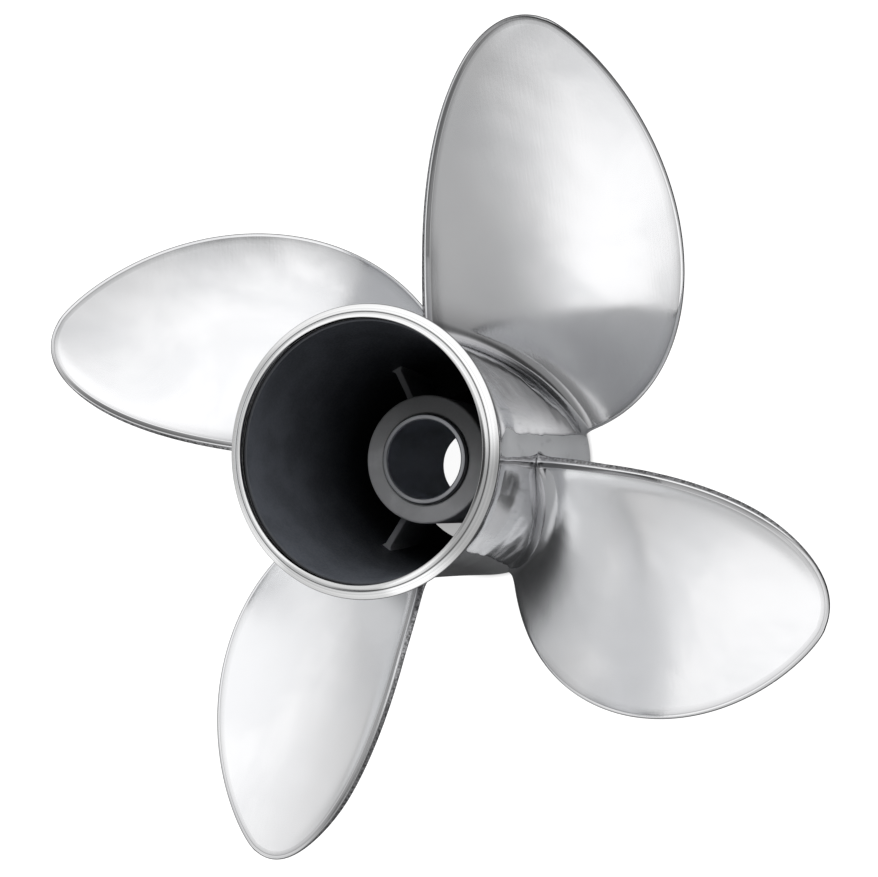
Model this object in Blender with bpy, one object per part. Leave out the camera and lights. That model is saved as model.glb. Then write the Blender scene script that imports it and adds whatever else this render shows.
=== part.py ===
# Four-blade stainless boat propeller with a through-hub exhaust barrel.
# Metres, +Z along the shaft towards the open exhaust end, origin at the centre of the front face.
# The blades, barrel, ring, inner hub and ribs are one polished casting on the real propeller:
# each is its own closed solid here, with SEAT_GAP where it meets its neighbour.
import math

import bmesh
import bpy
from mathutils import Vector

# Shared sizes
SEAT_GAP = 0.0003
TURN_STEPS = 48

# Barrel: the exhaust passes between its inner wall and the inner hub
BARREL_LENGTH = 0.1497
RING_LENGTH = 0.0048
RING_RADIUS = 0.0578
RING_EDGE_DROP = 0.0036
RING_MOUTH_RADIUS = 0.0519
RING_BEVEL = 0.0012
FLARE_LENGTH = 0.0244
FLARE_RADIUS = 0.0573
NECK_RADIUS = 0.0522
FRONT_RADIUS = 0.0554
FRONT_BEVEL = 0.0008
WALL_FRONT_RADIUS = 0.0398
WALL_MID_RADIUS = 0.0482
WALL_MID_Z = 0.0660
WALL_AFT_RADIUS = 0.0512
WALL_STEPS = 11

# Inner hub, with the rubber bushing and the drive sleeve pressed into it from the front
HUB_RADIUS = 0.0287
HUB_FRONT_Z = 0.0040
HUB_AFT_Z = 0.0790
HUB_BEVEL = 0.0010
HUB_POCKET_RADIUS = 0.0260
HUB_SHOULDER = 0.0050
SLEEVE_RADIUS = 0.0200
SLEEVE_BORE_RADIUS = 0.0175
SLEEVE_FRONT_Z = 0.0120
SLEEVE_AFT_Z = 0.0812
SLEEVE_BEVEL = 0.0005
BUSHING_FRONT_Z = 0.0150

# Ribs between the inner hub and the barrel
RIB_COUNT = 3
RIB_FIRST_ANGLE = math.radians(116.3)
RIB_THICKNESS = 0.0030
RIB_FRONT_Z = 0.0260
RIB_AFT_Z = 0.0622
RIB_STATIONS = 4
RIB_END_GAP = 0.0005  # the wall's flats lie 0.2 mm inside its true curve

# Blades: a helical face of constant pitch, raked aft, on a leaf outline
BLADE_COUNT = 4
TIP_RADIUS = 0.18415
ROOT_RADIUS = 0.0540
OUTLINE_ROOT_RADIUS = 0.0594
PITCH = 0.4000
RAKE = math.radians(22.4)
FACE_ANGLE = math.radians(60.0)
FACE_Z = 0.0534
TIP_ANGLE = math.radians(68.7)
TRAILING_SWEEP = math.radians(18.8)
TRAILING_POWERS = (1.46, 0.44)
LEADING_SWEEP = math.radians(43.1)
LEADING_POWERS = (1.78, 0.93)
TIP_ROUNDING = math.radians(9.7)
ROOT_THICKNESS = 0.0085
TIP_THICKNESS = 0.0026
LEADING_THICKNESS = 0.0014
TRAILING_THICKNESS = 0.0028
CUP_DEPTH = 0.0026
CUP_WIDTH = 0.0120
FILLET_RADIUS = 0.0080
LEADING_WRAP = 0.10
TRAILING_WRAP = 0.15
CHORD_STEPS = 20
SPAN_STEPS = 14
SPAN_END = 0.97
ROOT_STRIPS = 5
FRONT_CLEARANCE = 0.0008


def make_material(name, colour, roughness, metallic):
    material = bpy.data.materials.new(name)
    material.use_nodes = True
    shader = material.node_tree.nodes["Principled BSDF"]
    shader.inputs["Base Color"].default_value = (*colour, 1.0)
    shader.inputs["Roughness"].default_value = roughness
    shader.inputs["Metallic"].default_value = metallic
    return material


def add_object(name, mesh, material, angle=0.0):
    item = bpy.data.objects.new(name, mesh)
    if not mesh.materials:
        mesh.materials.append(material)
    item.rotation_euler = (0.0, 0.0, angle)
    bpy.context.collection.objects.link(item)
    return item


def finish_mesh(name, shape, sharp_degrees=35.0):
    bmesh.ops.recalc_face_normals(shape, faces=shape.faces)
    mesh = bpy.data.meshes.new(name)
    shape.to_mesh(mesh)
    shape.free()
    mesh.shade_smooth()
    mesh.set_sharp_from_angle(angle=math.radians(sharp_degrees))
    return mesh


def turned_mesh(name, profile):
    """Spin a closed outline of (radius, z) points round the shaft axis."""
    shape = bmesh.new()
    points = [shape.verts.new((radius, 0.0, z)) for radius, z in profile]
    edges = [shape.edges.new((points[i - 1], points[i])) for i in range(len(points))]
    bmesh.ops.spin(shape, geom=points + edges, cent=(0, 0, 0), axis=(0, 0, 1),
                   angle=math.tau, steps=TURN_STEPS, use_merge=True)
    bmesh.ops.remove_doubles(shape, verts=shape.verts, dist=0.00001)
    return finish_mesh(name, shape)


def blend(low, high, fraction):
    return low + (high - low) * fraction


def outside_radius(z):
    """Outer radius of the barrel: a long shallow taper, then the flare under the ring."""
    flare_start = BARREL_LENGTH - RING_LENGTH - FLARE_LENGTH
    if z <= flare_start:
        return blend(FRONT_RADIUS, NECK_RADIUS, math.sin(0.5 * math.pi * max(z, 0.0) / flare_start))
    rise = min((z - flare_start) / FLARE_LENGTH, 1.0)
    return blend(NECK_RADIUS, FLARE_RADIUS, rise ** 2)


def inside_radius(z):
    """Inner wall of the barrel: a bell that opens towards the exhaust mouth."""
    if z <= WALL_MID_Z:
        return blend(WALL_FRONT_RADIUS, WALL_MID_RADIUS, math.sin(0.5 * math.pi * z / WALL_MID_Z))
    open_length = BARREL_LENGTH - RING_LENGTH - WALL_MID_Z
    return blend(WALL_MID_RADIUS, WALL_AFT_RADIUS, (z - WALL_MID_Z) / open_length)


def barrel_mesh():
    end = BARREL_LENGTH - RING_LENGTH
    straight = end - FLARE_LENGTH
    outer_z = [straight * i / 6 for i in range(1, 7)]
    outer_z += [straight + FLARE_LENGTH * i / 4 for i in range(1, 5)]
    inner_z = [end * i / WALL_STEPS for i in range(WALL_STEPS, -1, -1)]
    profile = [(FRONT_RADIUS - FRONT_BEVEL, 0.0), (FRONT_RADIUS, FRONT_BEVEL)]
    profile += [(outside_radius(z), z) for z in outer_z]
    profile += [(inside_radius(z), z) for z in inner_z]
    return turned_mesh("barrel", profile)


def ring_mesh():
    """The flared ring: its face slopes from the lip of the mouth down to the widest edge."""
    front = BARREL_LENGTH - RING_LENGTH + SEAT_GAP
    edge = BARREL_LENGTH - RING_EDGE_DROP
    step = RING_BEVEL
    profile = [
        (WALL_AFT_RADIUS, front),
        (FLARE_RADIUS, front),
        (RING_RADIUS, edge),
        (RING_RADIUS - 0.3 * step, edge + 0.6 * step),
        (RING_RADIUS - 1.4 * step, edge + 1.2 * step),
        (RING_MOUTH_RADIUS + step, BARREL_LENGTH - 0.5 * step),
        (RING_MOUTH_RADIUS + 0.2 * step, BARREL_LENGTH),
        (RING_MOUTH_RADIUS, BARREL_LENGTH - 0.3 * step),
        (RING_MOUTH_RADIUS, edge),
    ]
    return turned_mesh("exhaust_ring", profile)


def hub_mesh():
    shoulder_z = HUB_AFT_Z - HUB_SHOULDER
    neck = SLEEVE_RADIUS + SEAT_GAP
    profile = [
        (HUB_POCKET_RADIUS, HUB_FRONT_Z),
        (HUB_RADIUS - 0.5 * HUB_BEVEL, HUB_FRONT_Z),
        (HUB_RADIUS, HUB_FRONT_Z + 0.5 * HUB_BEVEL),
        (HUB_RADIUS, HUB_AFT_Z - 2.0 * HUB_BEVEL),
        (HUB_RADIUS - 0.3 * HUB_BEVEL, HUB_AFT_Z - 0.7 * HUB_BEVEL),
        (HUB_RADIUS - HUB_BEVEL, HUB_AFT_Z),
        (neck, HUB_AFT_Z),
        (neck, shoulder_z),
        (HUB_POCKET_RADIUS, shoulder_z),
    ]
    return turned_mesh("inner_hub", profile)


def bushing_mesh():
    inner = SLEEVE_RADIUS + SEAT_GAP
    outer = HUB_POCKET_RADIUS - SEAT_GAP
    back = HUB_AFT_Z - HUB_SHOULDER - SEAT_GAP
    chamfer = 0.3 * (outer - inner)
    profile = [
        (inner, BUSHING_FRONT_Z),
        (outer - chamfer, BUSHING_FRONT_Z),
        (outer, BUSHING_FRONT_Z + chamfer),
        (outer, back),
        (inner, back),
    ]
    return turned_mesh("rubber_bushing", profile)


def sleeve_mesh():
    profile = [
        (SLEEVE_BORE_RADIUS + SLEEVE_BEVEL, SLEEVE_FRONT_Z),
        (SLEEVE_RADIUS - SLEEVE_BEVEL, SLEEVE_FRONT_Z),
        (SLEEVE_RADIUS, SLEEVE_FRONT_Z + SLEEVE_BEVEL),
        (SLEEVE_RADIUS, SLEEVE_AFT_Z - SLEEVE_BEVEL),
        (SLEEVE_RADIUS - SLEEVE_BEVEL, SLEEVE_AFT_Z),
        (SLEEVE_BORE_RADIUS + SLEEVE_BEVEL, SLEEVE_AFT_Z),
        (SLEEVE_BORE_RADIUS, SLEEVE_AFT_Z - SLEEVE_BEVEL),
        (SLEEVE_BORE_RADIUS, SLEEVE_FRONT_Z + SLEEVE_BEVEL),
    ]
    return turned_mesh("drive_sleeve", profile)


def rib_mesh():
    """A flat web along +X whose outer edge follows the barrel's bell-shaped wall."""
    shape = bmesh.new()
    half = 0.5 * RIB_THICKNESS
    foot = HUB_RADIUS + SEAT_GAP
    outline = [(foot, RIB_AFT_Z), (foot, RIB_FRONT_Z)]
    for i in range(RIB_STATIONS + 1):
        z = blend(RIB_FRONT_Z, RIB_AFT_Z, i / RIB_STATIONS)
        outline.append((inside_radius(z) - RIB_END_GAP, z))
    corners = [shape.verts.new((radius, -half, z)) for radius, z in outline]
    web = shape.faces.new(corners)
    grown = bmesh.ops.extrude_face_region(shape, geom=[web])
    moved = [item for item in grown["geom"] if isinstance(item, bmesh.types.BMVert)]
    bmesh.ops.translate(shape, verts=moved, vec=(0.0, RIB_THICKNESS, 0.0))
    return finish_mesh("rib", shape)


def face_z(radius, angle):
    """Height of the driving face: constant pitch round the shaft, raked aft along the radius."""
    climb = PITCH * (angle - FACE_ANGLE) / math.tau
    return FACE_Z + math.tan(RAKE) * (radius - OUTLINE_ROOT_RADIUS) + climb


def edge_angles(radius):
    """Angles of the leading and trailing edges on the leaf-shaped outline."""
    reach = (radius - OUTLINE_ROOT_RADIUS) / (TIP_RADIUS - OUTLINE_ROOT_RADIUS)
    reach = min(max(reach, 0.0), 1.0)
    leading = LEADING_SWEEP * (1.0 - reach ** LEADING_POWERS[0]) ** LEADING_POWERS[1]
    leading += TIP_ROUNDING * math.sqrt(1.0 - reach ** 2)
    trailing = TRAILING_SWEEP * (1.0 - reach ** TRAILING_POWERS[0]) ** TRAILING_POWERS[1]
    return TIP_ANGLE - leading, TIP_ANGLE + trailing


def face_normal(radius, angle):
    """Unit normal of the driving face, pointing aft."""
    around = PITCH / math.tau / radius
    outward = math.tan(RAKE)
    radial = Vector((math.cos(angle), math.sin(angle), 0.0))
    tangent = Vector((-math.sin(angle), math.cos(angle), 0.0))
    return (Vector((0.0, 0.0, 1.0)) - outward * radial - around * tangent).normalized()


def blade_thickness(chord, span):
    edge = blend(LEADING_THICKNESS, TRAILING_THICKNESS, chord)
    middle = blend(ROOT_THICKNESS, TIP_THICKNESS, span ** 0.8)
    return edge + max(middle - edge, 0.0) * 4.0 * chord * (1.0 - chord)


def fillet_growth(height):
    """How far a round root fillet stands out from the blade at a height above the barrel."""
    if height >= FILLET_RADIUS:
        return 0.0
    drop = FILLET_RADIUS - height
    return FILLET_RADIUS - math.sqrt(FILLET_RADIUS ** 2 - drop ** 2)


def on_barrel(point, span):
    """Put a point at its share of the way from the barrel's surface to the tip radius."""
    base = outside_radius(point.z) + SEAT_GAP
    radius = blend(base, TIP_RADIUS, span)
    flat = math.hypot(point.x, point.y)
    z = max(point.z, FRONT_CLEARANCE)
    return Vector((point.x * radius / flat, point.y * radius / flat, z))


def section_loop(span):
    """One closed blade section: the driving face from leading to trailing edge, then back."""
    nominal = blend(ROOT_RADIUS, TIP_RADIUS, span)
    leading, trailing = edge_angles(nominal)
    growth = fillet_growth(nominal - ROOT_RADIUS)
    helix = math.atan(PITCH / math.tau / nominal)
    leading -= LEADING_WRAP * growth / nominal
    trailing += TRAILING_WRAP * growth / nominal
    faces = []
    backs = []
    for i in range(CHORD_STEPS + 1):
        chord = 0.5 - 0.5 * math.cos(math.pi * i / CHORD_STEPS)
        angle = blend(leading, trailing, chord)
        normal = face_normal(nominal, angle)
        from_edge = (trailing - angle) * nominal / math.cos(helix)
        cup = max(1.0 - from_edge / CUP_WIDTH, 0.0)
        lift = CUP_DEPTH * cup ** 2 * min(4.0 * span, 1.0)
        swell = growth * math.sqrt(1.0 - (2.0 * chord - 1.0) ** 4)
        centre = Vector((nominal * math.cos(angle), nominal * math.sin(angle), 0.0))
        centre.z = face_z(nominal, angle)
        faces.append(on_barrel(centre + normal * (lift + swell), span))
        depth = blade_thickness(chord, span) - lift + swell
        backs.append(on_barrel(centre - normal * depth, span))
    return faces, backs


def blade_mesh():
    shape = bmesh.new()
    loops = []
    for j in range(SPAN_STEPS + 1):
        span = math.sin(0.5 * math.pi * SPAN_END * (j / SPAN_STEPS) ** 1.25)
        faces, backs = section_loop(span)
        if j == 0:
            root_rows = (faces, backs)
        loops.append([shape.verts.new(point) for point in faces + backs[::-1]])
    count = len(loops[0])
    for low, high in zip(loops, loops[1:]):
        for i in range(count):
            shape.faces.new((low[i - 1], low[i], high[i], high[i - 1]))
    cap_strips(shape, loops[-1], [])
    cap_strips(shape, loops[0], root_middles(shape, *root_rows))
    return finish_mesh("blade", shape, 50.0)


def root_middles(shape, faces, backs):
    """Rows of points across the root, on the barrel's curve, from driving face to back."""
    rows = []
    for k in range(1, ROOT_STRIPS):
        row = []
        for face, back in zip(faces, backs):
            row.append(shape.verts.new(on_barrel(face.lerp(back, k / ROOT_STRIPS), 0.0)))
        rows.append(row)
    return rows


def cap_strips(shape, loop, middles):
    """Close a section with strips of quads between its driving face and its back."""
    half = len(loop) // 2
    rows = [loop[:half]] + middles + [loop[half:][::-1]]
    for upper, lower in zip(rows, rows[1:]):
        for i in range(half - 1):
            shape.faces.new((upper[i], upper[i + 1], lower[i + 1], lower[i]))
    for end in (0, half - 1):
        if middles:
            shape.faces.new([row[end] for row in rows])


def build():
    for item in list(bpy.data.objects):
        bpy.data.objects.remove(item, do_unlink=True)
    steel = make_material("polished_steel", (0.76, 0.77, 0.78), 0.16, 1.0)
    ring_steel = make_material("bright_ring_steel", (0.82, 0.83, 0.84), 0.10, 1.0)
    hub_grey = make_material("cast_hub_grey", (0.16, 0.165, 0.17), 0.55, 0.6)
    rib_grey = make_material("rib_grey", (0.12, 0.125, 0.135), 0.5, 0.6)
    rubber = make_material("bushing_rubber", (0.02, 0.02, 0.02), 0.8, 0.0)
    sleeve_grey = make_material("sleeve_metal", (0.42, 0.43, 0.44), 0.35, 1.0)

    add_object("barrel", barrel_mesh(), steel)
    add_object("exhaust_ring", ring_mesh(), ring_steel)
    add_object("inner_hub", hub_mesh(), hub_grey)
    add_object("rubber_bushing", bushing_mesh(), rubber)
    add_object("drive_sleeve", sleeve_mesh(), sleeve_grey)
    rib = rib_mesh()
    for i in range(RIB_COUNT):
        add_object(f"rib_{i + 1}", rib, rib_grey, RIB_FIRST_ANGLE + math.tau * i / RIB_COUNT)
    blade = blade_mesh()
    for i in range(BLADE_COUNT):
        add_object(f"blade_{i + 1}", blade, steel, -math.tau * i / BLADE_COUNT)


build()
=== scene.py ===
# %% [markdown]
# # A polished four-blade boat propeller
#
# The real object is one stainless casting: four raked blades on a hollow barrel. The exhaust leaves
# through the barrel's open end, round an inner hub that three ribs hold in the middle. This lesson
# takes the measured solids as a fixed frame, models each piece again with a fine surface, and then
# gives every piece its finish.

# %% Load the frame
import math

import bmesh
import bpy
from mathutils import Matrix, Vector


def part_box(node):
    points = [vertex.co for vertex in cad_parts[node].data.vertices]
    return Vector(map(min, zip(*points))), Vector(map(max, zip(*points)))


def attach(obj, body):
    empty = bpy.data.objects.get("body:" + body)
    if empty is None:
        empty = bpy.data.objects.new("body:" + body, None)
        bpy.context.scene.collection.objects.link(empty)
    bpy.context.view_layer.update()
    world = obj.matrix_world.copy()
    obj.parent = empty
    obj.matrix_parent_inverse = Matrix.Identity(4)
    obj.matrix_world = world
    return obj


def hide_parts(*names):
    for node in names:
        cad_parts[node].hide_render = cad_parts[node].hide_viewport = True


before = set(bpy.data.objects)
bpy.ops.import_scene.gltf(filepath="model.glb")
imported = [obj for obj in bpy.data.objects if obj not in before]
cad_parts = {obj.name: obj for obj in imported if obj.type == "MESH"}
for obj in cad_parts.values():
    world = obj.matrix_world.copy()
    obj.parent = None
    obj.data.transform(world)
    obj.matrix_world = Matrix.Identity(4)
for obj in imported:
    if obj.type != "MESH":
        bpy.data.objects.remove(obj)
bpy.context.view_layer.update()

print("solids in the frame:", ", ".join(sorted(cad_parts)))

# %% [markdown]
# The frame gives the places that matter: how long the barrel is, how wide the ring's edge, where the
# inner hub and the sleeve end. Reading them from the frame keeps the fine pieces on the solids.

# %% Read the main sizes from the frame
barrel_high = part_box("barrel")[1]
ring_low, ring_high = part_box("exhaust_ring")
hub_low, hub_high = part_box("inner_hub")
bushing_low, bushing_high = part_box("rubber_bushing")
sleeve_low, sleeve_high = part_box("drive_sleeve")

BARREL_LENGTH = ring_high.z
RING_RADIUS = ring_high.x
RING_FRONT_Z = ring_low.z
HUB_RADIUS = hub_high.x
SLEEVE_RADIUS = sleeve_high.x
print(f"barrel {BARREL_LENGTH * 1000:.1f} mm long, ring {RING_RADIUS * 2000:.1f} mm across")

# %% [markdown]
# Blender's operators act on everything that is selected, so each piece starts with nothing selected.
# These three helpers do that, give a piece its smooth shading, and put it in the place of its solid.

# %% Helpers for starting and finishing a piece
SMOOTH_ANGLE = math.radians(38.0)
MERGE_DISTANCE = 0.000005


def deselect_all():
    """Leave edit mode and select nothing."""
    if bpy.context.mode != "OBJECT":
        bpy.ops.object.mode_set(mode="OBJECT")
    bpy.ops.object.select_all(action="DESELECT")


def close_mesh(piece):
    """Merge the seam, point the faces outwards and shade the piece smooth up to its real edges."""
    deselect_all()
    piece.select_set(True)
    bpy.context.view_layer.objects.active = piece
    bpy.ops.object.mode_set(mode="EDIT")
    bpy.ops.mesh.select_all(action="SELECT")
    bpy.ops.mesh.remove_doubles(threshold=MERGE_DISTANCE)
    bpy.ops.mesh.normals_make_consistent(inside=False)
    bpy.ops.object.mode_set(mode="OBJECT")
    bpy.ops.object.shade_smooth_by_angle(angle=SMOOTH_ANGLE)


def seat(piece, node, slot, *materials):
    """Let a finished piece stand for its solid, ride on the part and carry its materials."""
    for material in materials:
        piece.data.materials.append(material)
    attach(piece, "root")
    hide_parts(node)
    triangles = sum(len(face.vertices) - 2 for face in piece.data.polygons)
    print(f"{piece.name}: {triangles} triangles for {node}")


# %% [markdown]
# Everything round is turned on a lathe, and the lathe in Blender is the spin operator. A plane is
# merged into one point, that point is extruded along the outline, and the outline is spun once round
# the shaft axis.

# %% The lathe
LATHE_STEPS = 144
START_PLANE = 0.001


def turn(name, outline, steps=LATHE_STEPS):
    """Spin a closed outline of (radius, z) points round the shaft and return the piece."""
    deselect_all()
    start = Vector((outline[0][0], 0.0, outline[0][1]))
    bpy.ops.mesh.primitive_plane_add(size=START_PLANE, location=start)
    piece = bpy.context.object
    piece.name = name
    bpy.ops.object.mode_set(mode="EDIT")
    bpy.ops.mesh.merge(type="CENTER")
    for (radius, z), (next_radius, next_z) in zip(outline, outline[1:] + outline[:1]):
        step = (next_radius - radius, 0.0, next_z - z)
        bpy.ops.mesh.extrude_region_move(TRANSFORM_OT_translate={"value": step})
    bpy.ops.mesh.select_all(action="SELECT")
    bpy.ops.mesh.remove_doubles(threshold=MERGE_DISTANCE)
    bpy.ops.mesh.spin(steps=steps, angle=math.tau, center=(0, 0, 0), axis=(0, 0, 1))
    bpy.ops.object.mode_set(mode="OBJECT")
    bpy.ops.object.transform_apply(location=True, rotation=True, scale=True)
    close_mesh(piece)
    print(f"{name}: {len(outline)} corners, spun in {steps} steps")
    return piece


def arc(centre, radius, start_degrees, end_degrees, steps):
    """Points of a round corner in the outline."""
    points = []
    for i in range(steps + 1):
        angle = math.radians(start_degrees + (end_degrees - start_degrees) * i / steps)
        points.append((centre[0] + radius * math.cos(angle), centre[1] + radius * math.sin(angle)))
    return points


# %% [markdown]
# The barrel is a long shallow taper that flares out under the ring. Its inner wall is a bell that
# opens towards the mouth. Both curves are formulas, so the blades can find the barrel's surface.

# %% The barrel's two curves
FRONT_RADIUS = 0.0554
NECK_RADIUS = 0.0522
FLARE_RADIUS = 0.0573
FLARE_LENGTH = 0.0244
WALL_FRONT_RADIUS = 0.0398
WALL_MID_RADIUS = 0.0482
WALL_MID_Z = 0.0660
WALL_AFT_RADIUS = 0.0512
FLARE_START_Z = barrel_high.z - FLARE_LENGTH


def blend(low, high, share):
    """The value that lies a share of the way from low to high."""
    return low + (high - low) * share


def outside_radius(z):
    """The barrel's outer radius at a height: a quarter sine down to the neck, then the flare."""
    if z <= FLARE_START_Z:
        return blend(FRONT_RADIUS, NECK_RADIUS, math.sin(0.5 * math.pi * max(z, 0.0) / FLARE_START_Z))
    rise = min((z - FLARE_START_Z) / FLARE_LENGTH, 1.0)
    return blend(NECK_RADIUS, FLARE_RADIUS, rise ** 2)


def inside_radius(z):
    """The inner wall's radius at a height: a quarter sine, then a straight run to the ring."""
    if z <= WALL_MID_Z:
        return blend(WALL_FRONT_RADIUS, WALL_MID_RADIUS, math.sin(0.5 * math.pi * z / WALL_MID_Z))
    return blend(WALL_MID_RADIUS, WALL_AFT_RADIUS, (z - WALL_MID_Z) / (barrel_high.z - WALL_MID_Z))


print(f"neck {NECK_RADIUS * 2000:.1f} mm across, {FLARE_START_Z * 1000:.0f} mm from the front face")

# %% [markdown]
# With both curves known, the outline goes up along the outside and back down along the inside. It
# ends at the ring, which is a piece of its own.

# %% Turn the barrel
FRONT_ROUNDING = 0.0008
OUTSIDE_STEPS = 60
INSIDE_STEPS = 40
CORNER_STEPS = 4

seam_z = RING_FRONT_Z
barrel_outline = arc((FRONT_RADIUS - FRONT_ROUNDING, FRONT_ROUNDING), FRONT_ROUNDING, -90, 0, CORNER_STEPS)
for i in range(1, OUTSIDE_STEPS + 1):
    z = blend(FRONT_ROUNDING, seam_z, i / OUTSIDE_STEPS)
    barrel_outline.append((outside_radius(z), z))
for i in range(INSIDE_STEPS + 1):
    z = blend(seam_z, 0.0, i / INSIDE_STEPS)
    barrel_outline.append((inside_radius(z), z))
barrel = turn("barrel_casting", barrel_outline)

# %% [markdown]
# The ring is the brightest piece. Its face isn't flat: it slopes from the lip of the mouth down to the
# widest edge, with a fine groove round the lip and a rounded outer edge. Its small corners are shares
# of one step, so that the whole profile can be made bolder or finer with a single number.

# %% Turn the exhaust ring
MOUTH_RADIUS = 0.0519
EDGE_DROP = 0.0036
RING_STEP = 0.0012
INNER_LINE = 0.0544
OUTER_LINE = 0.0571
LINE_WIDTH = 0.00018
ROLLED_DEGREES = 60
ROLLED_STEPS = 5
RING_LATHE_STEPS = 192

edge_z = BARREL_LENGTH - EDGE_DROP
lip_z = BARREL_LENGTH


def land_z(radius):
    """Height of the sloped land between groove and outer edge."""
    share = (radius - INNER_LINE) / (OUTER_LINE - INNER_LINE)
    return blend(lip_z - 1.04 * RING_STEP, edge_z + 0.58 * RING_STEP, share)


ring_outline = [
    (WALL_AFT_RADIUS, seam_z),
    (outside_radius(seam_z), seam_z),
    (RING_RADIUS - 0.2 * RING_STEP, edge_z - 0.3 * RING_STEP),
]
ring_outline += arc((RING_RADIUS - 0.5 * RING_STEP, edge_z), 0.5 * RING_STEP, 0, ROLLED_DEGREES, ROLLED_STEPS)
ring_outline += [
    (OUTER_LINE, land_z(OUTER_LINE)),
    (INNER_LINE + LINE_WIDTH, land_z(INNER_LINE + LINE_WIDTH)),
    (INNER_LINE, land_z(INNER_LINE) - 0.12 * RING_STEP),
    (INNER_LINE - LINE_WIDTH, land_z(INNER_LINE) + 0.10 * RING_STEP),
    (MOUTH_RADIUS + 0.30 * RING_STEP, lip_z),
    (MOUTH_RADIUS + 0.12 * RING_STEP, lip_z),
    (MOUTH_RADIUS, lip_z - 0.14 * RING_STEP),
    (MOUTH_RADIUS - 0.05 * RING_STEP, edge_z),
]
ring = turn("exhaust_ring_turned", ring_outline, steps=RING_LATHE_STEPS)

# %% [markdown]
# The inner hub is left as cast, with a small round edge, and it holds the sleeve in a shallow seat. The
# sleeve is machined, so its edges are fine chamfers. The rubber between them shows only from the front.

# %% Turn the hub, the sleeve and the bushing
HUB_EDGE = 0.0011
HUB_EDGE_STEPS = 6
HUB_POCKET_RADIUS = 0.0260
HUB_SHOULDER = 0.0050
SLEEVE_BORE_RADIUS = 0.0175
SLEEVE_CHAMFER = 0.0005
SEAT_DEPTH = 0.0009
SEAT_WIDTH = 0.0010

hub_outline = [(HUB_POCKET_RADIUS, hub_low.z)]
hub_outline += arc((HUB_RADIUS - HUB_EDGE, hub_low.z + HUB_EDGE), HUB_EDGE, -90, 0, CORNER_STEPS)
hub_outline += arc((HUB_RADIUS - HUB_EDGE, hub_high.z - HUB_EDGE), HUB_EDGE, 0, 90, HUB_EDGE_STEPS)
hub_outline += [
    (SLEEVE_RADIUS + SEAT_WIDTH, hub_high.z),
    (SLEEVE_RADIUS + 0.5 * SEAT_WIDTH, hub_high.z - 0.7 * SEAT_DEPTH),
    (SLEEVE_RADIUS + 0.3 * SEAT_WIDTH, hub_high.z - SEAT_DEPTH),
    (SLEEVE_RADIUS + 0.3 * SEAT_WIDTH, hub_high.z - HUB_SHOULDER),
    (HUB_POCKET_RADIUS, hub_high.z - HUB_SHOULDER),
]
hub = turn("inner_hub_casting", hub_outline)

bore_edge = SLEEVE_BORE_RADIUS + SLEEVE_CHAMFER
sleeve_edge = SLEEVE_RADIUS - SLEEVE_CHAMFER
sleeve_outline = [
    (bore_edge, sleeve_low.z),
    (sleeve_edge, sleeve_low.z),
    (SLEEVE_RADIUS, sleeve_low.z + SLEEVE_CHAMFER),
    (SLEEVE_RADIUS, sleeve_high.z - SLEEVE_CHAMFER),
    (sleeve_edge, sleeve_high.z),
    (bore_edge, sleeve_high.z),
    (SLEEVE_BORE_RADIUS, sleeve_high.z - SLEEVE_CHAMFER),
    (SLEEVE_BORE_RADIUS, sleeve_low.z + SLEEVE_CHAMFER),
]
sleeve = turn("drive_sleeve_machined", sleeve_outline)

BUSHING_CHAMFER = 0.0017
BUSHING_GAP = 0.0003
BUSHING_LIP = 0.0010
BUSHING_LATHE_STEPS = 96
bushing_outline = [
    (SLEEVE_RADIUS + BUSHING_GAP, bushing_low.z + 0.3 * BUSHING_CHAMFER),
    (SLEEVE_RADIUS + BUSHING_LIP, bushing_low.z),
    (bushing_high.x - BUSHING_CHAMFER, bushing_low.z),
    (bushing_high.x, bushing_low.z + BUSHING_CHAMFER),
    (bushing_high.x, bushing_high.z),
    (SLEEVE_RADIUS + BUSHING_GAP, bushing_high.z),
]
bushing = turn("rubber_bushing_moulded", bushing_outline, steps=BUSHING_LATHE_STEPS)

# %% [markdown]
# A rib is a flat web with a small round fillet where it runs into the wall and into the hub. Its
# outline is drawn once, given its thickness by an extrusion, and rounded with a bevel.

# %% Model the three ribs
RIB_COUNT = 3
RIB_FIRST_ANGLE = math.radians(116.3)
RIB_THICKNESS = 0.0030
RIB_FLARE = 0.0010
RIB_STATIONS = 10
RIB_ROUNDING = 0.0005
RIB_OVERLAP = 0.0004
BEVEL_SEGMENTS = 3
BEVEL_ANGLE = math.radians(60.0)

rib_low, rib_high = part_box("rib_1")


def rib_half_width(radius, wall_radius):
    """Half the rib's thickness, growing in a fillet towards the hub and towards the wall."""
    to_wall = max(1.0 - (wall_radius - radius) / (2.0 * RIB_FLARE), 0.0)
    to_hub = max(1.0 - (radius - HUB_RADIUS) / (2.0 * RIB_FLARE), 0.0)
    return 0.5 * RIB_THICKNESS + RIB_FLARE * (to_wall ** 2 + to_hub ** 2)


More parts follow.
